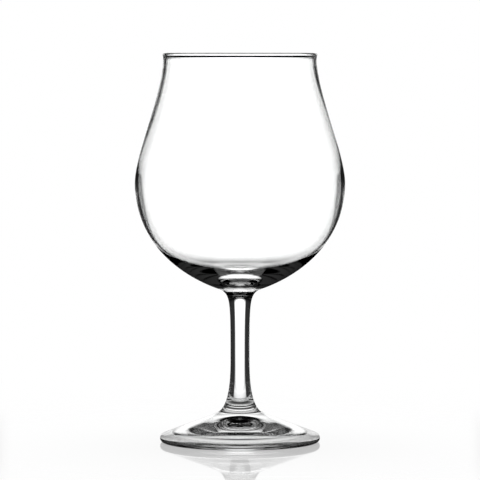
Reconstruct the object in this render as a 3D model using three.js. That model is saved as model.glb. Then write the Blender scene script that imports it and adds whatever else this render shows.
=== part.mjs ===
// Stemmed beer glass: a blown tulip bowl with a beaded rim, a drawn solid stem and a pressed foot.
// The three pieces of clear glass meet face to face on two flat weld lands.
// Units are millimetres and +Z is up. The origin is on the table, at the middle of the ring the foot rests on.
import * as THREE from "three";

// Foot: a shallow cone, hollow underneath
const FOOT_RADIUS = 36.4;
const FOOT_HEIGHT = 13.7; // table to the land that the stem is welded on
const FOOT_EDGE_ROUND = 1.8; // radius of the rounded edge
const FOOT_EDGE_SLOPE = 22; // degrees above level, where the cone leaves the edge
const FOOT_BOSS_SLOPE = 28; // degrees above level, where the cone meets the stem
const FOOT_EDGE_PULL = 0.4; // handle of the cone's curve at the edge, as a share of the cone's width
const FOOT_BOSS_PULL = 0.2; // handle of the cone's curve at the stem
const REST_RING_WIDTH = 5.4; // flat ring that stands on the table
const HOLLOW_RISE = 6.9; // height of the hollow under the foot, at its middle
const HOLLOW_CROWN_PULL = 0.235; // handle of the hollow's curve at its middle, as a share of its width
const HOLLOW_EDGE_SLOPE = 42; // degrees above level, where the hollow leaves the resting ring
const HOLLOW_EDGE_PULL = 0.062; // handle of the hollow's curve at the resting ring

// Stem: solid, narrowest at its waist
const STEM_LENGTH = 55.5;
const STEM_FOOT_RADIUS = 9.7; // weld land on the foot
const STEM_WAIST_RADIUS = 4.32;
const STEM_WAIST_HEIGHT = 23.5; // waist above the foot's land
const LOWER_FLARE_SLOPE = 33.5; // degrees above level, where the lower flare meets the foot
const LOWER_FLARE_REACH = 0.75; // handle at the foot, as a share of the flare's overhang
const LOWER_FLARE_PULL = 0.52; // handle at the waist, as a share of the flare's length
const UPPER_FLARE_SLOPE = 33; // degrees below level, where the upper flare leaves the bowl
const UPPER_FLARE_REACH = 1; // handle at the bowl, as a share of the flare's overhang
const UPPER_FLARE_PULL = 0.815; // handle at the waist, as a share of the flare's length

// Bowl: thick at its base, widest at its belly, drawn in to the rim
const BOWL_HEIGHT = 107.5; // weld land to the top of the rim
const BOWL_WELD_RADIUS = 8.4; // weld land on the stem
const BELLY_RADIUS = 47.7;
const BELLY_HEIGHT = 48.5; // widest place above the weld land
const LIP_RADIUS = 34.8; // outside of the wall just under the rim's bead
const RIM_BEAD_RADIUS = 0.95; // section of the bead at the rim
const LIP_WALL = 1.35; // thickness of the wall under the bead
const BELLY_WALL = 1.4; // thickness of the wall at the belly
const BOWL_FLOOR = 5.9; // thickness of the glass over the weld land
const UNDERSIDE_SLOPE = 18.6; // degrees above level, where the underside leaves the stem
const UNDERSIDE_REACH = 0.517; // handle at the stem, as a share of the underside's overhang
const UNDERSIDE_PULL = 0.53; // handle at the belly, as a share of the belly's height
const SHOULDER_PULL = 0.237; // handle above the belly, as a share of the rise to the lip
const LIP_PULL = 0.273; // handle below the lip, as a share of the rise to the lip
const CAVITY_LIFT = 4.5; // how far above the outside's widest place the cavity is widest
const CAVITY_FLOOR_REACH = 0.69; // handle at the middle of the cavity's floor, as a share of its width
const CAVITY_PULL = 0.61; // handle where the cavity is widest, as a share of its depth below that

// Fineness of the turned surfaces
const TURN_SEGMENTS = 48;
const CURVE_STEPS = 12;
const BEAD_STEPS = 10;
const EDGE_STEPS = 6;

// A point of an outline: its distance from the axis and its height.
function at(radius, height) {
  return new THREE.Vector2(radius, height);
}

// A point's neighbour along a slope in degrees, a level distance away (towards the axis if negative).
function along(point, levelStep, slope) {
  const rise = levelStep * Math.tan(THREE.MathUtils.degToRad(slope));
  return at(point.x + levelStep, point.y + rise);
}

// A round arc of an outline, from one angle in radians to another, anticlockwise.
function arc(centre, radius, fromAngle, toAngle) {
  return new THREE.EllipseCurve(centre.x, centre.y, radius, radius, fromAngle, toAngle);
}

// A solid of revolution about +Z, from the curves of its outline end to end, each with its number of steps.
function turned(curves) {
  const points = [];
  for (const [curve, steps] of curves) {
    const stretch = curve.getPoints(steps);
    points.push(...stretch.slice(points.length ? 1 : 0));
  }
  const solid = new THREE.LatheGeometry(points, TURN_SEGMENTS);
  return solid.rotateX(Math.PI / 2);
}

// Clear glass with a faint grey-green cast; each piece carries its own.
function clearGlass(colour) {
  return new THREE.MeshStandardMaterial({
    color: colour,
    roughness: 0.04,
    metalness: 0,
    transparent: true,
    opacity: 0.35,
  });
}

// The pressed foot, with its base on the table.
function footSolid() {
  const crown = at(0, HOLLOW_RISE);
  const edgeCentre = at(FOOT_RADIUS - FOOT_EDGE_ROUND, FOOT_EDGE_ROUND);
  const ringOuter = at(edgeCentre.x, 0);
  const ringInner = at(edgeCentre.x - REST_RING_WIDTH, 0);
  const hollow = new THREE.CubicBezierCurve(
    crown,
    at(HOLLOW_CROWN_PULL * ringInner.x, HOLLOW_RISE),
    along(ringInner, -HOLLOW_EDGE_PULL * ringInner.x, -HOLLOW_EDGE_SLOPE),
    ringInner,
  );
  const edgeEnd = Math.PI / 2 - THREE.MathUtils.degToRad(FOOT_EDGE_SLOPE);
  const edge = arc(edgeCentre, FOOT_EDGE_ROUND, -Math.PI / 2, edgeEnd);
  const coneStart = edge.getPoint(1);
  const boss = at(STEM_FOOT_RADIUS, FOOT_HEIGHT);
  const coneWidth = coneStart.x - boss.x;
  const cone = new THREE.CubicBezierCurve(
    coneStart,
    along(coneStart, -FOOT_EDGE_PULL * coneWidth, -FOOT_EDGE_SLOPE),
    along(boss, FOOT_BOSS_PULL * coneWidth, -FOOT_BOSS_SLOPE),
    boss,
  );
  return turned([
    [hollow, CURVE_STEPS],
    [new THREE.LineCurve(ringInner, ringOuter), 1],
    [edge, EDGE_STEPS],
    [cone, CURVE_STEPS],
    [new THREE.LineCurve(boss, at(0, FOOT_HEIGHT)), 1],
  ]);
}

// The drawn stem, with its base at height 0.
function stemSolid() {
  const foot = at(STEM_FOOT_RADIUS, 0);
  const waist = at(STEM_WAIST_RADIUS, STEM_WAIST_HEIGHT);
  const bowl = at(BOWL_WELD_RADIUS, STEM_LENGTH);
  const lowerOverhang = foot.x - waist.x;
  const upperOverhang = bowl.x - waist.x;
  const upperLength = STEM_LENGTH - STEM_WAIST_HEIGHT;
  const lowerFlare = new THREE.CubicBezierCurve(
    foot,
    along(foot, -LOWER_FLARE_REACH * lowerOverhang, -LOWER_FLARE_SLOPE),
    at(waist.x, (1 - LOWER_FLARE_PULL) * waist.y),
    waist,
  );
  const upperFlare = new THREE.CubicBezierCurve(
    waist,
    at(waist.x, waist.y + UPPER_FLARE_PULL * upperLength),
    along(bowl, -UPPER_FLARE_REACH * upperOverhang, UPPER_FLARE_SLOPE),
    bowl,
  );
  return turned([
    [new THREE.LineCurve(at(0, 0), foot), 1],
    [lowerFlare, CURVE_STEPS],
    [upperFlare, CURVE_STEPS],
    [new THREE.LineCurve(bowl, at(0, STEM_LENGTH)), 1],
  ]);
}

// The blown bowl, with its weld land at height 0 and its cavity open at the top.
function bowlSolid() {
  const weld = at(BOWL_WELD_RADIUS, 0);
  const belly = at(BELLY_RADIUS, BELLY_HEIGHT);
  const overhang = belly.x - weld.x;
  const underside = new THREE.CubicBezierCurve(
    weld,
    along(weld, UNDERSIDE_REACH * overhang, UNDERSIDE_SLOPE),
    at(belly.x, (1 - UNDERSIDE_PULL) * BELLY_HEIGHT),
    belly,
  );

  // The bead sits on the middle of the wall, and the wall runs into the underside of its section.
  const beadCentre = at(LIP_RADIUS - LIP_WALL / 2, BOWL_HEIGHT - RIM_BEAD_RADIUS);
  const beadStart = -Math.acos(LIP_WALL / 2 / RIM_BEAD_RADIUS);
  const bead = arc(beadCentre, RIM_BEAD_RADIUS, beadStart, Math.PI - beadStart);
  const outerLip = bead.getPoint(0);
  const innerLip = bead.getPoint(1);

  const rise = outerLip.y - belly.y;
  const outerWall = new THREE.CubicBezierCurve(
    belly,
    at(belly.x, belly.y + SHOULDER_PULL * rise),
    at(outerLip.x, outerLip.y - LIP_PULL * rise),
    outerLip,
  );
  const innerBelly = at(BELLY_RADIUS - BELLY_WALL, BELLY_HEIGHT + CAVITY_LIFT);
  const innerRise = innerLip.y - innerBelly.y;
  const innerWall = new THREE.CubicBezierCurve(
    innerLip,
    at(innerLip.x, innerLip.y - LIP_PULL * innerRise),
    at(innerBelly.x, innerBelly.y + SHOULDER_PULL * innerRise),
    innerBelly,
  );
  const cavityDepth = innerBelly.y - BOWL_FLOOR;
  const cavity = new THREE.CubicBezierCurve(
    innerBelly,
    at(innerBelly.x, innerBelly.y - CAVITY_PULL * cavityDepth),
    at(CAVITY_FLOOR_REACH * innerBelly.x, BOWL_FLOOR),
    at(0, BOWL_FLOOR),
  );
  return turned([
    [new THREE.LineCurve(at(0, 0), weld), 1],
    [underside, CURVE_STEPS],
    [outerWall, CURVE_STEPS],
    [bead, BEAD_STEPS],
    [innerWall, CURVE_STEPS],
    [cavity, CURVE_STEPS],
  ]);
}

// Each piece stands on the weld land of the piece below it.
const glass = new THREE.Group();

const foot = new THREE.Mesh(footSolid(), clearGlass(0xeef2f0));
foot.name = "foot";
glass.add(foot);

const stem = new THREE.Mesh(stemSolid(), clearGlass(0xedf1f0));
stem.name = "stem";
stem.position.z = FOOT_HEIGHT;
glass.add(stem);

const bowl = new THREE.Mesh(bowlSolid(), clearGlass(0xf0f3f2));
bowl.name = "bowl";
bowl.position.z = FOOT_HEIGHT + STEM_LENGTH;
glass.add(bowl);

export default glass;
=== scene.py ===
"""A clear stemmed beer glass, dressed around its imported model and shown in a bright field.

The bowl, stem and foot are turned from the same curves as their solids, with the small unevenness of
blown and drawn glass. Sizes of the glass are millimetres; the set around it is in metres, as Blender is.
"""
import logging
import math
from dataclasses import dataclass
from enum import Enum

import bpy
import numpy as np
from mathutils import Matrix


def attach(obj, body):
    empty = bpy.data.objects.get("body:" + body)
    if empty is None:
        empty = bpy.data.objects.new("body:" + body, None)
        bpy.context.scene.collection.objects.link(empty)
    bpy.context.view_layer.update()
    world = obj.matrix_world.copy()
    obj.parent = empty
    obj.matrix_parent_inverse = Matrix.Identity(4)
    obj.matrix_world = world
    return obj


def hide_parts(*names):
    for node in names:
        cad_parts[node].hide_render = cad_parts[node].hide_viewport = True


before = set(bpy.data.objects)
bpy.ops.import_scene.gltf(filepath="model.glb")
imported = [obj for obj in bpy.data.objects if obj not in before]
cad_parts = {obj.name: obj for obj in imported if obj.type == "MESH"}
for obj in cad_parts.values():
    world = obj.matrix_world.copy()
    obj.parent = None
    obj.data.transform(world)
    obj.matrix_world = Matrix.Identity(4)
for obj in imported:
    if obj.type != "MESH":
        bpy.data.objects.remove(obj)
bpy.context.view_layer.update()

LOG = logging.getLogger("beer_glass")
BODY = "root"
MM = 0.001

# Fineness of the turned surfaces
TURN_STEPS = 720  # faces round each piece
FLAT_RINGS = 5  # rings across a flat face
ON_AXIS = 1e-6  # a ring narrower than this, in millimetres, is a point on the axis

# Sizes that two pieces share
FOOT_HEIGHT = 13.7  # table to the land that the stem is welded on
STEM_LENGTH = 55.5
LOWER_WELD_RADIUS = 9.7
UPPER_WELD_RADIUS = 8.4

# Clear glass, whichever way it was worked
GLASS_IOR = 1.5
CORD_DETAIL = 3.0
SKIN_DETAIL = 2.0
SMEAR_SCALE = 60.0  # smears of handling per metre
SMEAR_DETAIL = 4.0
SMEAR_SPAN = (0.5, 0.75)  # chance values between which a smear shows
SCUFF_SCALE = 900.0  # scuffs of standing per metre
SCUFF_DETAIL = 5.0
SCUFF_SPAN = (0.35, 0.65)

WHITE = (1.0, 1.0, 1.0, 1.0)
PLAIN_BLEND = 0.5  # at which Layer Weight gives 1 minus the cosine
GLASS_BOUNCES = 32
MIRROR_BOUNCES = 16

Span = tuple[float, float]
Triple = tuple[float, float, float]
Socket = bpy.types.NodeSocket


class Face(Enum):
    """Which side of a piece a stretch of its outline makes."""

    OUTER = "outer"
    INNER = "inner"
    RIM = "rim"
    RESTING = "resting"
    WELD = "weld"


def point(radius: float, height: float) -> np.ndarray:
    """A point of an outline: its distance from the axis and its height."""
    return np.array([radius, height], float)


def along(start: np.ndarray, level_step: float, slope: float) -> np.ndarray:
    """A point's neighbour up a slope in degrees, a level distance away (towards the axis if negative)."""
    return start + point(level_step, level_step * math.tan(math.radians(slope)))


def bezier(controls: list[np.ndarray], steps: int) -> np.ndarray:
    """Points along a cubic curve.

    Args:
        controls: Its start, two handles and end.
        steps: How many straight steps stand for it.

    Returns:
        The points, from the start to the end.
    """
    share = np.linspace(0, 1, steps + 1)[:, None]
    left = 1 - share
    start, leave, arrive, end = controls
    return left**3 * start + 3 * left**2 * share * leave + 3 * left * share**2 * arrive + share**3 * end


def arc(centre: np.ndarray, radius: float, span: Span, steps: int) -> np.ndarray:
    """Points along a round arc.

    Args:
        centre: The middle of the circle.
        radius: Its radius.
        span: The first and last angle, in radians from level.
        steps: How many straight steps stand for it.

    Returns:
        The points, from the first angle to the last.
    """
    angle = np.linspace(*span, steps + 1)
    return centre + radius * np.stack([np.cos(angle), np.sin(angle)], axis=1)


def swell(value: np.ndarray, low: float, high: float) -> np.ndarray:
    """A rise from 0 at low to 1 half way, and back to 0 at high."""
    share = np.clip((value - low) / (high - low), 0, 1)
    return np.sin(math.pi * share) ** 2


@dataclass(frozen=True)
class Wave:
    """A shallow wave round a piece.

    Attributes:
        crests: How many crests it has round the piece.
        start: Where they start, in radians.
        lean: How far they turn with height, in radians per millimetre.
        share: Its height, as a share of the deepest wave's.
    """

    crests: int
    start: float
    lean: float
    share: float = 1.0

    def height(self, turn: np.ndarray, level: np.ndarray) -> np.ndarray:
        """The wave's height at angles round the piece and levels up it."""
        return self.share * np.sin(self.crests * turn + self.start + self.lean * level)


def waved(rings: np.ndarray, base: float, waves: tuple[Wave, ...], depth: np.ndarray) -> np.ndarray:
    """Rings of points moved in and out by waves.

    Args:
        rings: The points, in millimetres.
        base: The height from which the waves count theirs.
        waves: The waves, which add up.
        depth: How deep the waves are at each point.

    Returns:
        The moved points.
    """
    turn = np.arctan2(rings[..., 1], rings[..., 0])
    level = rings[..., 2] - base
    radius = np.maximum(np.hypot(rings[..., 0], rings[..., 1]), ON_AXIS)
    push = depth * sum(wave.height(turn, level) for wave in waves)
    moved = rings.copy()
    moved[..., :2] *= (1 + push / radius)[..., None]
    return moved


class Graph:
    """The nodes of one material or world, added and joined by name."""

    def __init__(self, tree: bpy.types.NodeTree) -> None:
        """Starts from an empty tree."""
        self.tree = tree
        self.tree.nodes.clear()

    def add(self, kind: str, values: dict | None = None, **settings: object) -> bpy.types.Node:
        """Adds a node.

        Args:
            kind: The node's type name, without its ShaderNode prefix.
            values: Inputs by name or number, each a plain value or the output socket that feeds it.
            settings: Attributes of the node itself.

        Returns:
            The node.
        """
        node = self.tree.nodes.new("ShaderNode" + kind)
        for name, value in settings.items():
            setattr(node, name, value)
        for name, value in (values or {}).items():
            if isinstance(value, Socket):
                self.tree.links.new(value, node.inputs[name])
            else:
                node.inputs[name].default_value = value
        return node

    def maths(self, operation: str, first: object, second: object) -> Socket:
        """The result of a sum on two values or sockets."""
        return self.add("Math", {0: first, 1: second}, operation=operation).outputs[0]

    def ramp(self, value: Socket, low: float, high: float, ends: Span) -> Socket:
        """A soft change between two values.

        Args:
            value: What the change follows.
            low: Where it starts.
            high: Where it ends.
            ends: The result at low and at high.

        Returns:
            The result's socket.
        """
        inputs = {"Value": value, "From Min": low, "From Max": high, "To Min": ends[0], "To Max": ends[1]}
        return self.add("MapRange", inputs, interpolation_type="SMOOTHSTEP").outputs[0]

    def noise(self, place: Socket, scale: float, detail: float) -> Socket:
        """Soft chance patches of a scale per metre, from 0 to 1."""
        return self.add("TexNoise", {"Vector": place, "Scale": scale, "Detail": detail}).outputs[0]

    def facing(self) -> Socket:
        """1 minus the cosine of the angle, from square, at which the surface is seen."""
        return self.add("LayerWeight", {"Blend": PLAIN_BLEND}).outputs["Facing"]

    def light(self, strength: object) -> bpy.types.Node:
        """White light of a strength, where 1 is white."""
        return self.add("Emission", {"Color": WHITE, "Strength": strength})

    def mix(self, share: object, first: bpy.types.Node, second: bpy.types.Node) -> bpy.types.Node:
        """A blend of two shaders, all first where share is 0."""
        return self.add("MixShader", {0: share, 1: first.outputs[0], 2: second.outputs[0]})

    def show(self, shader: bpy.types.Node) -> None:
        """Makes a shader the material's surface."""
        self.add("OutputMaterial", {"Surface": shader.outputs[0]})


def new_material(name: str) -> tuple[bpy.types.Material, Graph]:
    """Makes an empty node material.

    Args:
        name: The material's name.

    Returns:
        The material and its graph.
    """
    made = bpy.data.materials.new(name)
    made.use_nodes = True
    return made, Graph(made.node_tree)


def new_object(name: str, data: bpy.types.ID) -> bpy.types.Object:
    """Makes an object and puts it in the scene.

    Args:
        name: The object's name.
        data: Its mesh, camera or light.

    Returns:
        The object.
    """
    made = bpy.data.objects.new(name, data)
    bpy.context.scene.collection.objects.link(made)
    return made


@dataclass(frozen=True)
class GlassFinish:
    """Clear soda-lime glass, with the faint traces of how it was worked.

    Attributes:
        name: The material's name.
        cast: Colour along the faint streaks, called cords, that stirring leaves in glass.
        cord_scale: Streaks per metre.
        cord_stretch: Scale of the streaks along X, Y and Z, less where they are drawn out.
        skin_scale: Waves of the fire-polished skin per metre.
        skin_height: Height of those waves, in metres.
        clear: Colour of the clearest glass.
        haze: Most roughness that handling leaves on the surface.
        rubbed_height: Height in metres up to which standing on tables has rubbed it, or 0.
        rubbed_haze: Roughness where it is rubbed.
    """

    name: str
    cast: Triple
    cord_scale: float
    cord_stretch: Triple
    skin_scale: float
    skin_height: float
    clear: Triple = (1.0, 1.0, 1.0)
    haze: float = 0.012
    rubbed_height: float = 0.0
    rubbed_haze: float = 0.0

    def material(self) -> bpy.types.Material:
        """Makes the node material of this finish.

        Returns:
            The material.
        """
        made, graph = new_material(self.name)
        place = graph.add("TexCoord").outputs["Object"]
        drawn = graph.add("Mapping", {"Vector": place, "Scale": self.cord_stretch}).outputs[0]
        cords = graph.noise(drawn, self.cord_scale, CORD_DETAIL)
        colour = graph.add(
            "Mix", {0: cords, 6: (*self.clear, 1.0), 7: (*self.cast, 1.0)}, data_type="RGBA"
        ).outputs[2]
        skin = graph.noise(drawn, self.skin_scale, SKIN_DETAIL)
        normal = graph.add(
            "Bump", {"Strength": 1.0, "Distance": self.skin_height, "Height": skin}
        ).outputs[0]
        shader = graph.add(
            "BsdfPrincipled",
            {
                "Base Color": colour,
                "Roughness": self._haze(graph, place),
                "IOR": GLASS_IOR,
                "Transmission Weight": 1.0,
                "Normal": normal,
            },
        )
        graph.show(shader)
        return made

    def _haze(self, graph: Graph, place: Socket) -> Socket:
        """Roughness from handling, and from rubbing where the piece stands on tables.

        Args:
            graph: The material's graph.
            place: The socket that gives the place on the piece.

        Returns:
            The roughness.
        """
        smears = graph.noise(place, SMEAR_SCALE, SMEAR_DETAIL)
        haze = graph.ramp(smears, *SMEAR_SPAN, (0.0, self.haze))
        if not self.rubbed_height:
            return haze
        height = graph.add("SeparateXYZ", {0: place}).outputs["Z"]
        low = graph.ramp(height, 0.0, self.rubbed_height, (1.0, 0.0))
        scuffs = graph.noise(place, SCUFF_SCALE, SCUFF_DETAIL)
        rubbed = graph.maths("MULTIPLY", low, graph.ramp(scuffs, *SCUFF_SPAN, (0.0, self.rubbed_haze)))
        return graph.maths("MAXIMUM", haze, rubbed)


class Finish(Enum):
    """The finish of each kind of work."""

    BLOWN = GlassFinish(
        name="blown_glass",
        cast=(0.985, 0.992, 0.99),
        cord_scale=14.0,
        cord_stretch=(1.0, 1.0, 0.35),
        skin_scale=45.0,
        skin_height=0.00002,
    )
    DRAWN = GlassFinish(
        name="drawn_glass",
        cast=(0.98, 0.99, 0.988),
        cord_scale=60.0,
        cord_stretch=(1.0, 1.0, 0.12),
        skin_scale=160.0,
        skin_height=0.00001,
    )
    PRESSED = GlassFinish(
        name="pressed_glass",
        cast=(0.98, 0.99, 0.988),
        cord_scale=30.0,
        cord_stretch=(1.0, 1.0, 1.0),
        skin_scale=90.0,
        skin_height=0.000004,
        rubbed_height=0.0004,
        rubbed_haze=0.12,
    )


def fused_weld() -> bpy.types.Material:
    """Makes the inside of a weld, where the glass of two pieces has run together and nothing shows.

    Returns:
        The material.
    """
    made, graph = new_material("fused_weld")
    graph.show(graph.add("BsdfTransparent", {"Color": WHITE}))
    return made


@dataclass
class Stretch:
    """A stretch of a piece's outline.

    Attributes:
        points: Its points, end to end.
        face: The side of the piece that it makes.
    """

    points: np.ndarray
    face: Face


class TurnedPiece:
    """A piece of glass turned about the upright axis, as a closed mesh.

    Attributes:
        name: The piece's name.
        node: The solid that it stands for.
        slot: The record's material slot; not used.
        finish: Its glass.
    """

    name: str
    node: str
    slot: str
    finish: Finish

    def outline(self) -> list[Stretch]:
        """The stretches of the outline end to end, from the axis to the axis, anticlockwise."""
        raise NotImplementedError

    def worked(self, face: Face, rings: np.ndarray) -> np.ndarray:
        """The rings of a stretch with the unevenness that working the glass left in them.

        Args:
            face: The side that the stretch makes.
            rings: Points in millimetres, one row for each ring of the stretch.

        Returns:
            The moved points. The rings at both ends of a stretch stay in place.
        """
        return rings

    def build(self, weld: bpy.types.Material) -> bpy.types.Object:
        """Turns the piece, dresses it and puts it in its solid's place.

        Args:
            weld: The material of the faces that are fused to the next piece.

        Returns:
            The finished object.
        """
        mesh = self._mesh()
        mesh.materials.append(self.finish.value.material())
        mesh.materials.append(weld)
        made = new_object(self.name, mesh)
        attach(made, BODY)
        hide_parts(self.node)
        return made

    def _rings(self) -> tuple[list[np.ndarray], list[bool]]:
        """Turns the outline.

        Returns:
            The rings of points in millimetres, and whether each band between two of them is a weld's.
        """
        turn = np.arange(TURN_STEPS) * (2 * math.pi / TURN_STEPS)
        level = np.stack([np.cos(turn), np.sin(turn)], axis=1)
        rings: list[np.ndarray] = []
        welded: list[bool] = []
        for stretch in self.outline():
            across = stretch.points[:, :1, None] * level[None]
            upright = np.broadcast_to(stretch.points[:, 1, None, None], (*across.shape[:2], 1))
            moved = self.worked(stretch.face, np.concatenate([across, upright], axis=2))
            rings.extend(moved[1:] if rings else moved)
            welded.extend([stretch.face is Face.WELD] * (len(stretch.points) - 1))
        return rings, welded

    def _mesh(self) -> bpy.types.Mesh:
        """Joins the rings into a closed mesh, creased where a weld meets a side.

        Returns:
            The mesh.
        """
        rings, welded = self._rings()
        places: list[tuple[float, ...]] = []
        faces: list[tuple[int, ...]] = []
        slots: list[int] = []
        creased: list[int] = []
        last: list[int] = []
        for index, ring in enumerate(rings):
            on_axis = np.hypot(*ring[0, :2]) < ON_AXIS
            used = ring[:1] if on_axis else ring
            now = list(range(len(places), len(places) + len(used)))
            places.extend(map(tuple, used * MM))
            edge = 0 < index < len(rings) - 1 and welded[index - 1] != welded[index]
            creased.extend([index if edge else -1] * len(used))
            if last:
                band = self._band(last, now)
                faces.extend(band)
                slots.extend([int(welded[index - 1])] * len(band))
            last = now
        mesh = bpy.data.meshes.new(self.name)
        mesh.from_pydata(places, [], faces)
        mesh.polygons.foreach_set("material_index", slots)
        mesh.shade_smooth()
        self._crease(mesh, np.array(creased))
        mesh.validate()
        return mesh

    @staticmethod
    def _band(low: list[int], high: list[int]) -> list[tuple[int, ...]]:
        """The faces between two rings, either of which may be a point on the axis.

        Args:
            low: The vertices of the first ring.
            high: The vertices of the next ring.

        Returns:
            The faces, each by its vertices.
        """
        faces: list[tuple[int, ...]] = []
        for step in range(TURN_STEPS):
            after = (step + 1) % TURN_STEPS
            if len(low) == 1:
                faces.append((low[0], high[after], high[step]))
            elif len(high) == 1:
                faces.append((low[step], low[after], high[0]))
            else:
                faces.append((low[step], low[after], high[after], high[step]))
        return faces

    @staticmethod
    def _crease(mesh: bpy.types.Mesh, creased: np.ndarray) -> None:
        """Marks the rings where a weld's flat face meets a side as sharp.

        Args:
            mesh: The piece's mesh.
            creased: For each vertex, the number of its ring where that is sharp, or -1.
        """
        ends = np.empty(len(mesh.edges) * 2, np.int32)
        mesh.edges.foreach_get("vertices", ends)
        first, second = creased[ends.reshape(-1, 2)].T
        sharp = mesh.attributes.new("sharp_edge", "BOOLEAN", "EDGE")
        sharp.data.foreach_set("value", (first >= 0) & (first == second))


@dataclass
class Foot(TurnedPiece):
    """The pressed foot: a shallow cone, hollow underneath, on a flat resting ring."""

    name: str = "pressed_foot"
    node: str = "foot"
    slot: str = "foot_glass"
    finish: Finish = Finish.PRESSED
    radius: float = 36.4
    height: float = FOOT_HEIGHT
    land_radius: float = LOWER_WELD_RADIUS
    edge_round: float = 1.8  # radius of the rounded edge
    edge_slope: float = 22.0  # degrees above level, where the cone leaves the edge
    boss_slope: float = 28.0  # degrees above level, where the cone meets the stem
    edge_pull: float = 0.4  # handle of the cone's curve at the edge, as a share of the cone's width
    boss_pull: float = 0.2  # handle of the cone's curve at the stem
    ring_width: float = 5.4  # flat ring that stands on the table
    hollow_rise: float = 6.9  # height of the hollow at its middle
    crown_pull: float = 0.235  # handle of the hollow's curve at its middle, as a share of its width
    hollow_slope: float = 42.0  # degrees above level, where the hollow leaves the resting ring
    hollow_pull: float = 0.062  # handle of the hollow's curve at the resting ring
    hollow_steps: int = 72
    edge_steps: int = 18
    cone_steps: int = 36

    def outline(self) -> list[Stretch]:
        """The hollow, the resting ring, the rounded edge, the cone and the land.

        Returns:
            The stretches, from the middle of the hollow to the middle of the land.
        """
        edge_centre = point(self.radius - self.edge_round, self.edge_round)
        ring_outer = point(edge_centre[0], 0)
        ring_inner = ring_outer - point(self.ring_width, 0)
        hollow_width = ring_inner[0]
        hollow = [
            point(0, self.hollow_rise),
            point(self.crown_pull * hollow_width, self.hollow_rise),
            along(ring_inner, -self.hollow_pull * hollow_width, -self.hollow_slope),
            ring_inner,
        ]
        edge_span = (-math.pi / 2, math.pi / 2 - math.radians(self.edge_slope))
        edge = arc(edge_centre, self.edge_round, edge_span, self.edge_steps)
        land = point(self.land_radius, self.height)
        cone_width = edge[-1][0] - land[0]
        cone = [
            edge[-1],
            along(edge[-1], -self.edge_pull * cone_width, -self.edge_slope),
            along(land, self.boss_pull * cone_width, -self.boss_slope),
            land,
        ]
        return [
            Stretch(bezier(hollow, self.hollow_steps), Face.INNER),
            Stretch(np.linspace(ring_inner, ring_outer, FLAT_RINGS), Face.RESTING),
            Stretch(edge, Face.OUTER),
            Stretch(bezier(cone, self.cone_steps), Face.OUTER),
            Stretch(np.linspace(land, point(0, self.height), FLAT_RINGS), Face.WELD),
        ]


@dataclass
class Stem(TurnedPiece):
    """The drawn stem: solid, narrowest at its waist, flared to the foot and to the bowl."""

    name: str = "drawn_stem"
    node: str = "stem"
    slot: str = "stem_glass"
    finish: Finish = Finish.DRAWN
    base: float = FOOT_HEIGHT  # height of its lower land above the table
    length: float = STEM_LENGTH
    foot_radius: float = LOWER_WELD_RADIUS
    bowl_radius: float = UPPER_WELD_RADIUS
    waist_radius: float = 4.32
    waist_height: float = 23.5  # waist above the lower land
    lower_slope: float = 33.5  # degrees above level, where the lower flare meets the foot
    lower_reach: float = 0.75  # handle at the foot, as a share of the flare's overhang
    lower_pull: float = 0.52  # handle at the waist, as a share of the flare's length
    upper_slope: float = 33.0  # degrees below level, where the upper flare leaves the bowl
    upper_reach: float = 1.0  # handle at the bowl, as a share of the flare's overhang
    upper_pull: float = 0.815  # handle at the waist, as a share of the flare's length
    lower_steps: int = 56
    upper_steps: int = 64
    draw_mark: float = 0.012  # depth of the long streaks that drawing left
    streaks: tuple[Wave, ...] = (Wave(3, 0.7, 0.02), Wave(7, 2.1, 0.0, 0.5))

    def outline(self) -> list[Stretch]:
        """The lower land, the two flares and the upper land.

        Returns:
            The stretches, from the middle of the lower land to the middle of the upper one.
        """
        foot = point(self.foot_radius, self.base)
        waist = point(self.waist_radius, self.base + self.waist_height)
        bowl = point(self.bowl_radius, self.base + self.length)
        lower = [
            foot,
            along(foot, -self.lower_reach * (foot[0] - waist[0]), -self.lower_slope),
            waist - point(0, self.lower_pull * self.waist_height),
            waist,
        ]
        upper = [
            waist,
            waist + point(0, self.upper_pull * (self.length - self.waist_height)),
            along(bowl, -self.upper_reach * (bowl[0] - waist[0]), self.upper_slope),
            bowl,
        ]
        flares = np.concatenate([bezier(lower, self.lower_steps), bezier(upper, self.upper_steps)[1:]])
        return [
            Stretch(np.linspace(point(0, foot[1]), foot, FLAT_RINGS), Face.WELD),
            Stretch(flares, Face.OUTER),
            Stretch(np.linspace(bowl, point(0, bowl[1]), FLAT_RINGS), Face.WELD),
        ]

    def worked(self, face: Face, rings: np.ndarray) -> np.ndarray:
        """Long shallow streaks down the stem.

        Args:
            face: The side that the stretch makes.
            rings: Points in millimetres, one row for each ring of the stretch.

        Returns:
            The moved points.
        """
        if face is not Face.OUTER:
            return rings
        depth = self.draw_mark * swell(rings[..., 2] - self.base, 0, self.length)
        return waved(rings, self.base, self.streaks, depth)


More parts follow.
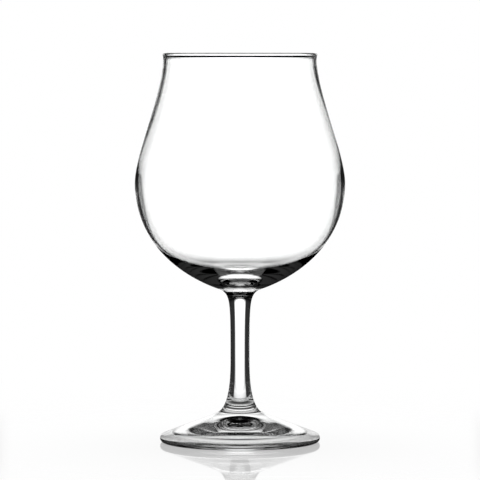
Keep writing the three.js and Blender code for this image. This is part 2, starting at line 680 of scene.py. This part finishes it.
@dataclass
class Bowl(TurnedPiece):
    """The blown bowl: thick at its base, widest at its belly, drawn in to a beaded rim."""

    name: str = "blown_bowl"
    node: str = "bowl"
    slot: str = "bowl_glass"
    finish: Finish = Finish.BLOWN
    base: float = FOOT_HEIGHT + STEM_LENGTH  # height of its weld land above the table
    height: float = 107.5  # weld land to the top of the rim
    weld_radius: float = UPPER_WELD_RADIUS
    belly_radius: float = 47.7
    belly_height: float = 48.5  # widest place above the weld land
    lip_radius: float = 34.8  # outside of the wall just under the rim's bead
    bead_radius: float = 0.95  # section of the bead at the rim
    lip_wall: float = 1.35  # thickness of the wall under the bead
    belly_wall: float = 1.4  # thickness of the wall at the belly
    floor: float = 5.9  # thickness of the glass over the weld land
    under_slope: float = 18.6  # degrees above level, where the underside leaves the stem
    under_reach: float = 0.517  # handle at the stem, as a share of the underside's overhang
    under_pull: float = 0.53  # handle at the belly, as a share of the belly's height
    shoulder_pull: float = 0.237  # handle above the belly, as a share of the rise to the lip
    lip_pull: float = 0.273  # handle below the lip, as a share of the rise to the lip
    cavity_lift: float = 4.5  # how far above the outside's widest place the cavity is widest
    cavity_reach: float = 0.69  # handle at the middle of the cavity's floor, as a share of its width
    cavity_pull: float = 0.61  # handle where the cavity is widest, as a share of its depth below that
    bead_run: float = 0.9  # how far below the bead's section the wall starts to swell into it
    bead_turn: float = 0.3  # angle below level, in radians, where the swelling becomes the bead
    bead_pull: float = 0.45  # handles of the swelling's curve, as a share of its height
    under_steps: int = 34
    wall_steps: int = 24
    swelling_steps: int = 4
    bead_steps: int = 12
    cavity_steps: int = 32
    blow_mark: float = 0.03  # depth of the broad waves that blowing left
    outer_waves: tuple[Wave, ...] = (Wave(2, 0.4, 0.03), Wave(5, 0.0, -0.05, 0.6))
    inner_waves: tuple[Wave, ...] = (Wave(3, 1.9, -0.04), Wave(4, 0.0, 0.06, 0.7))
    belly_drift: float = 0.13  # how far the cavity lies off the axis at the belly, towards -X
    belly_drift_span: Span = (20.0, 76.0)  # heights between which it does
    neck_drift: float = -0.4  # the same, at the neck
    neck_drift_span: Span = (52.0, 104.0)

    @property
    def lip_height(self) -> float:
        """Height above the weld land where the wall ends and the rim starts."""
        return self.height - 2 * self.bead_radius - self.bead_run

    def outline(self) -> list[Stretch]:
        """The weld land, the outside, the rim and the inside.

        Returns:
            The stretches, from the middle of the weld land to the middle of the floor.
        """
        weld = point(self.weld_radius, 0)
        bead_centre = point(self.lip_radius - self.lip_wall / 2, self.height - self.bead_radius)
        bead_span = (-self.bead_turn, math.pi + self.bead_turn)
        bead = arc(bead_centre, self.bead_radius, bead_span, self.bead_steps)
        lip = point(self.lip_radius, self.lip_height)
        inner_lip = lip - point(self.lip_wall, 0)
        lift = point(0, self.base)
        return [
            Stretch(np.linspace(point(0, 0), weld, FLAT_RINGS) + lift, Face.WELD),
            Stretch(self._outside(weld, lip) + lift, Face.OUTER),
            Stretch(self._swelling(lip, bead[0]) + lift, Face.RIM),
            Stretch(bead + lift, Face.RIM),
            Stretch(self._swelling(inner_lip, bead[-1])[::-1] + lift, Face.RIM),
            Stretch(self._inside(inner_lip) + lift, Face.INNER),
        ]

    def _wall(self, belly: np.ndarray, lip: np.ndarray) -> np.ndarray:
        """One side of the wall above the belly.

        Args:
            belly: Where that side is widest.
            lip: Where it ends.

        Returns:
            The points from the belly to the lip.
        """
        rise = lip[1] - belly[1]
        shoulder = belly + point(0, self.shoulder_pull * rise)
        neck = lip - point(0, self.lip_pull * rise)
        return bezier([belly, shoulder, neck, lip], self.wall_steps)

    def _outside(self, weld: np.ndarray, lip: np.ndarray) -> np.ndarray:
        """The underside and the outer wall.

        Args:
            weld: The edge of the weld land.
            lip: Where the outer wall ends.

        Returns:
            The points from the weld land to the lip.
        """
        belly = point(self.belly_radius, self.belly_height)
        under = [
            weld,
            along(weld, self.under_reach * (belly[0] - weld[0]), self.under_slope),
            belly - point(0, self.under_pull * self.belly_height),
            belly,
        ]
        return np.concatenate([bezier(under, self.under_steps), self._wall(belly, lip)[1:]])

    def _inside(self, lip: np.ndarray) -> np.ndarray:
        """The inner wall and the round bottom of the cavity.

        Args:
            lip: Where the inner wall ends.

        Returns:
            The points from the lip to the middle of the floor.
        """
        belly = point(self.belly_radius - self.belly_wall, self.belly_height + self.cavity_lift)
        cavity = [
            belly,
            belly - point(0, self.cavity_pull * (belly[1] - self.floor)),
            point(self.cavity_reach * belly[0], self.floor),
            point(0, self.floor),
        ]
        return np.concatenate([self._wall(belly, lip)[::-1], bezier(cavity, self.cavity_steps)[1:]])

    def _swelling(self, lip: np.ndarray, bead: np.ndarray) -> np.ndarray:
        """The smooth run from the wall into the bead.

        Args:
            lip: Where the wall ends.
            bead: Where the bead's round section starts, on the same side.

        Returns:
            The points from the wall to the bead.
        """
        side = math.copysign(1.0, bead[0] - lip[0])
        reach = self.bead_pull * (bead[1] - lip[1])
        leaving = point(side * math.sin(self.bead_turn), math.cos(self.bead_turn))
        return bezier([lip, lip + point(0, reach), bead - reach * leaving, bead], self.swelling_steps)

    def worked(self, face: Face, rings: np.ndarray) -> np.ndarray:
        """Broad waves from blowing, and a cavity that wanders a little off the axis.

        Args:
            face: The side that the stretch makes.
            rings: Points in millimetres, one row for each ring of the stretch.

        Returns:
            The moved points.
        """
        height = rings[..., 2] - self.base
        if face is Face.OUTER:
            depth = self.blow_mark * swell(height, 0, self.lip_height)
            return waved(rings, self.base, self.outer_waves, depth)
        if face is Face.INNER:
            depth = self.blow_mark * swell(height, self.floor, self.lip_height)
            moved = waved(rings, self.base, self.inner_waves, depth)
            moved[..., 0] -= self.belly_drift * swell(height, *self.belly_drift_span)
            moved[..., 0] -= self.neck_drift * swell(height, *self.neck_drift_span)
            return moved
        return rings


@dataclass
class Viewpoint:
    """The camera, at the photograph's viewing angle. Lengths are metres.

    Attributes:
        distance: From the glass's axis, along the level.
        height: Above the table.
        aim_height: Height on the axis that the middle of the frame shows.
        half_width: Half of what the frame shows across, at the axis.
        sensor: Width of the sensor, in millimetres.
    """

    distance: float = 1.49
    height: float = 0.1759
    aim_height: float = 0.0919
    half_width: float = 0.10875
    sensor: float = 36.0

    def build(self) -> bpy.types.Object:
        """Makes the scene's camera.

        Returns:
            The camera.
        """
        lens = bpy.data.cameras.new("viewpoint")
        lens.sensor_width = self.sensor
        lens.lens = self.sensor / 2 * self.distance / self.half_width
        made = new_object("viewpoint", lens)
        tilt = math.atan2(self.aim_height - self.height, self.distance)
        place = Matrix.Translation((0.0, -self.distance, self.height))
        made.matrix_world = place @ Matrix.Rotation(math.pi / 2 + tilt, 4, "X")
        bpy.context.scene.camera = made
        return made


class Seen(Enum):
    """Which rays a panel of the set shows itself to."""

    THROUGH_GLASS = "transmission"
    IN_REFLECTION = "glossy"


@dataclass(frozen=True)
class Dimming:
    """How a panel dims on the way down. Heights are metres from the camera's line of sight.

    Attributes:
        start: Where it starts to dim.
        end: Where that ends.
        level: Its brightness there.
    """

    start: float
    end: float
    level: float


@dataclass(frozen=True)
class Grid:
    """A grid over a panel, which keeps its light from spreading, less so towards its lower end.

    Attributes:
        full: Degrees off square up to which all of the light leaves.
        cut: Degrees off square from which none does.
        coarse_cut: The same, at the coarser lower end.
        coarse_from: Where it starts to be coarser, in metres from the camera's line of sight.
        coarse_to: Where that ends.
    """

    full: float = 11.0
    cut: float = 28.5
    coarse_cut: float = 42.0
    coarse_from: float = -0.08
    coarse_to: float = -0.13

    def share(self, graph: Graph, height: Socket) -> Socket:
        """The share of the panel's light that leaves towards the viewer.

        Args:
            graph: The panel's graph.
            height: The socket that gives the height on the panel.

        Returns:
            The share, from 0 to 1.
        """
        angles = (self.full, self.cut, self.coarse_cut)
        full, cut, coarse_cut = (1 - math.cos(math.radians(angle)) for angle in angles)
        facing = graph.facing()
        fine = graph.ramp(facing, full, cut, (1.0, 0.0))
        coarse = graph.ramp(facing, full, coarse_cut, (1.0, 0.0))
        low = graph.ramp(height, self.coarse_to, self.coarse_from, (1.0, 0.0))
        return graph.maths("MAXIMUM", fine, graph.maths("MULTIPLY", low, coarse))


@dataclass
class Panel:
    """A white panel that stands square behind the glass, as the camera sees it. Lengths are metres.

    It is carried by the camera, so that the glass has a bright field behind it from every side. Beyond
    the panel the room is dark, and the glass draws its own dark edges.

    Attributes:
        name: The panel's name.
        seen: The rays that it shows itself to.
        back: How far behind the glass's axis it stands.
        half_width: Half its width.
        low: Its lower edge, from the camera's line of sight.
        high: Its upper edge.
        soft_edge: Width at each side over which it fades out.
        level: Its brightness at its top, over 1 where its grid and the glass take light away again.
        dims: How it dims on the way down.
        grid: The grid over it, or None.
    """

    name: str
    seen: Seen
    back: float
    half_width: float
    low: float
    high: float
    soft_edge: float
    level: float = 1.0
    dims: tuple[Dimming, ...] = ()
    grid: Grid | None = None

    def build(self, camera: bpy.types.Object, distance: float) -> bpy.types.Object:
        """Stands the panel up behind the glass.

        Args:
            camera: The camera that carries it.
            distance: From the camera to the glass's axis.

        Returns:
            The panel.
        """
        depth = -(distance + self.back)
        left, right = -self.half_width, self.half_width
        corners = [(left, self.low), (right, self.low), (right, self.high), (left, self.high)]
        mesh = bpy.data.meshes.new(self.name)
        mesh.from_pydata([(*corner, depth) for corner in corners], [], [(0, 1, 2, 3)])
        mesh.materials.append(self._material())
        made = new_object(self.name, mesh)
        made.parent = camera
        made.visible_camera = False
        made.visible_diffuse = False
        made.visible_shadow = False
        made.visible_volume_scatter = False
        made.visible_transmission = self.seen is Seen.THROUGH_GLASS
        made.visible_glossy = self.seen is Seen.IN_REFLECTION
        return made

    def _material(self) -> bpy.types.Material:
        """White light, softly dimmer towards the lower edge, faded out at both sides.

        Returns:
            The material.
        """
        made, graph = new_material(self.name)
        place = graph.add("TexCoord").outputs["Object"]
        split = graph.add("SeparateXYZ", {0: place}).outputs
        level: object = self.level
        for dim in self.dims:
            dimmed = graph.ramp(split["Y"], dim.end, dim.start, (dim.level, self.level))
            level = graph.maths("MINIMUM", level, dimmed)
        across = graph.maths("ABSOLUTE", split["X"], 0.0)
        edge = graph.ramp(across, self.half_width - self.soft_edge, self.half_width, (1.0, 0.0))
        strength = graph.maths("MULTIPLY", level, edge)
        if self.grid:
            strength = graph.maths("MULTIPLY", strength, self.grid.share(graph, split["Y"]))
        graph.show(graph.light(strength))
        return made


BRIGHT_FIELD = Panel(
    name="bright_field",
    seen=Seen.THROUGH_GLASS,
    back=0.225,
    half_width=0.093,
    low=-0.222,
    high=0.134,
    soft_edge=0.014,
    level=1.7,
    dims=(Dimming(-0.006, -0.082, 1.2), Dimming(-0.11, -0.134, 1.08)),
    grid=Grid(),
)
TABLE_BACKDROP = Panel(
    name="table_backdrop",
    seen=Seen.IN_REFLECTION,
    back=0.82,
    half_width=0.2,
    low=-0.3,
    high=0.75,
    soft_edge=0.04,
)


@dataclass
class Table:
    """The white, faintly glossy table top. Lengths are metres.

    Attributes:
        radius: How far the top reaches.
        edge_steps: Straight steps round its edge.
        shade: Share of its white that is lit by the lamp, so that the glass's shadow shows.
        shade_from: Where that share starts to give way to plain white, from the axis.
        shade_to: Where it has.
        gloss_ior: How strongly it mirrors.
        gloss_roughness: How softly.
        gloss_near: Share of the mirroring that shows by the glass.
        gloss_from: Where that starts to fade, from the axis.
        gloss_to: Where it has ended.
        gloss_steep: 1 minus the cosine of the view from upright, at which it mirrors nothing yet.
        gloss_flat: The same, at which it mirrors in full.
        painted_under_level: White that the glass shows of the table under its foot, as painted light: the
            table glows with it.
        under_from: Where that starts to give way to the bright field, from the axis.
        under_to: Where it has.
        painted_shadow_level: White that the glass shows of the table under the stem, as a painted shadow:
            the table glows this dimly there.
        painted_shadow_radius: Radius of that painted shadow.
        painted_shadow_edge: Where it has ended.
    """

    radius: float = 0.75
    edge_steps: int = 128
    shade: float = 0.2
    shade_from: float = 0.1
    shade_to: float = 0.3
    gloss_ior: float = 1.45
    gloss_roughness: float = 0.03
    gloss_near: float = 0.86
    gloss_from: float = 0.11
    gloss_to: float = 0.2
    gloss_steep: float = 0.6
    gloss_flat: float = 0.72
    painted_under_level: float = 0.9
    under_from: float = 0.03
    under_to: float = 0.039
    painted_shadow_level: float = 0.06
    painted_shadow_radius: float = 0.006
    painted_shadow_edge: float = 0.027

    def build(self) -> bpy.types.Object:
        """Lays the table top.

        Returns:
            The table top.
        """
        turns = [2 * math.pi * step / self.edge_steps for step in range(self.edge_steps)]
        edge = [(self.radius * math.cos(turn), self.radius * math.sin(turn), 0.0) for turn in turns]
        mesh = bpy.data.meshes.new("table_top")
        mesh.from_pydata(edge, [], [tuple(range(len(edge)))])
        mesh.materials.append(self._material())
        made = new_object("table_top", mesh)
        return made

    def _material(self) -> bpy.types.Material:
        """One look for the camera and one, of painted light and shade, for what the glass shows of the
        table.

        Returns:
            The material.
        """
        made, graph = new_material("table_top")
        rays = graph.add("LightPath").outputs
        place = graph.add("NewGeometry").outputs["Position"]
        away = graph.add("VectorMath", {0: place}, operation="LENGTH").outputs["Value"]
        seen = self._top(graph, rays["Is Camera Ray"], away)
        graph.show(graph.mix(rays["Is Transmission Ray"], seen, self._through(graph, away)))
        return made

    def _top(self, graph: Graph, to_camera: Socket, away: Socket) -> bpy.types.Node:
        """White to the camera, with the glass's shadow and its soft mirror image.

        Args:
            graph: The material's graph.
            to_camera: The socket that is 1 for the camera's own rays.
            away: The socket that gives the distance from the axis.

        Returns:
            The shader.
        """
        shade = graph.ramp(away, self.shade_from, self.shade_to, (self.shade, 0.0))
        shown = graph.maths("MULTIPLY", shade, to_camera)
        grey = graph.add("CombineColor", {0: shown, 1: shown, 2: shown}).outputs[0]
        lit = graph.add("BsdfDiffuse", {"Color": grey})
        plain = graph.light(graph.maths("SUBTRACT", to_camera, shown))
        top = graph.add("AddShader", {0: lit.outputs[0], 1: plain.outputs[0]})
        gloss = graph.add("BsdfGlossy", {"Color": WHITE, "Roughness": self.gloss_roughness})
        fresnel = graph.add("Fresnel", {"IOR": self.gloss_ior}).outputs[0]
        by_glass = graph.ramp(away, self.gloss_from, self.gloss_to, (self.gloss_near, 0.0))
        grazing = graph.ramp(graph.facing(), self.gloss_steep, self.gloss_flat, (0.0, 1.0))
        share = graph.maths("MULTIPLY", fresnel, graph.maths("MULTIPLY", by_glass, grazing))
        return graph.mix(share, top, gloss)

    def _through(self, graph: Graph, away: Socket) -> bpy.types.Node:
        """What the glass shows: the table under its foot, glowing with painted light and darkened by a
        painted shadow under the stem, and the bright field beyond that.

        Args:
            graph: The material's graph.
            away: The socket that gives the distance from the axis.

        Returns:
            The shader.
        """
        # Painted light and shade: the table glows for the glass, dim in a painted shadow under the stem
        # and brighter further out.
        levels = (self.painted_shadow_level, self.painted_under_level)
        under = graph.light(graph.ramp(away, self.painted_shadow_radius, self.painted_shadow_edge, levels))
        beyond = graph.add("BsdfTransparent", {"Color": WHITE})
        return graph.mix(graph.ramp(away, self.under_from, self.under_to, (0.0, 1.0)), under, beyond)


@dataclass
class Room:
    """The white surround, the dim room that the glass shows and the soft lamp overhead.

    Attributes:
        dim: Brightness of the room beyond the panels.
        dark_from: Sine of the height where the room starts to darken overhead.
        dark_to: Sine of the height where it is dark.
        lamp: Strength of the lamp, at which a colour shows as it is written.
        lamp_spread: How wide the lamp is, in degrees.
        lamp_lean: How far the lamp leans, in degrees.
    """

    dim: float = 0.03
    dark_from: float = 0.12
    dark_to: float = 0.4
    lamp: float = math.pi
    lamp_spread: float = 70.0
    lamp_lean: float = 15.0

    def build(self) -> None:
        """Sets the world and hangs the lamp."""
        self._surround()
        light = bpy.data.lights.new("soft_lamp", "SUN")
        light.energy = self.lamp
        light.angle = math.radians(self.lamp_spread)
        lamp = new_object("soft_lamp", light)
        lamp.rotation_euler = (math.radians(-self.lamp_lean), 0.0, 0.0)
        lamp.visible_glossy = False
        lamp.visible_transmission = False

    def _surround(self) -> None:
        """Makes the world: white to the camera, dim to the glass, dark overhead."""
        world = bpy.data.worlds.new("room")
        bpy.context.scene.world = world
        world.use_nodes = True
        graph = Graph(world.node_tree)
        rays = graph.add("LightPath").outputs
        direction = graph.add("TexCoord").outputs["Generated"]
        up = graph.add("SeparateXYZ", {0: direction}).outputs["Z"]
        around = graph.ramp(up, self.dark_from, self.dark_to, (self.dim, 0.0))
        level = graph.maths("MAXIMUM", around, rays["Is Camera Ray"])
        sky = graph.add("Background", {"Color": WHITE, "Strength": level})
        graph.add("OutputWorld", {"Surface": sky.outputs[0]})


def set_light_paths() -> None:
    """Lets light follow its long way through thick glass and keeps colours as they are written."""
    scene = bpy.context.scene
    scene.view_settings.view_transform = "Standard"
    scene.cycles.max_bounces = GLASS_BOUNCES
    scene.cycles.transmission_bounces = GLASS_BOUNCES
    scene.cycles.glossy_bounces = MIRROR_BOUNCES
    scene.cycles.transparent_max_bounces = GLASS_BOUNCES


def main() -> None:
    """Builds the glass from the foot up, then the set around it."""
    logging.basicConfig(level=logging.INFO, format="%(message)s")
    set_light_paths()
    weld = fused_weld()
    for piece in (Foot(), Stem(), Bowl()):
        made = piece.build(weld)
        LOG.info("%s stands for %s: %d faces", made.name, piece.node, len(made.data.polygons))
    viewpoint = Viewpoint()
    camera = viewpoint.build()
    for panel in (BRIGHT_FIELD, TABLE_BACKDROP):
        made = panel.build(camera, viewpoint.distance)
        LOG.info("%s stands behind the glass", made.name)
    table = Table().build()
    LOG.info("%s lies under it", table.name)
    Room().build()
    LOG.info("nodes in the frame: %s", ", ".join(sorted(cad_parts)))


if __name__ == "__main__":
    main()
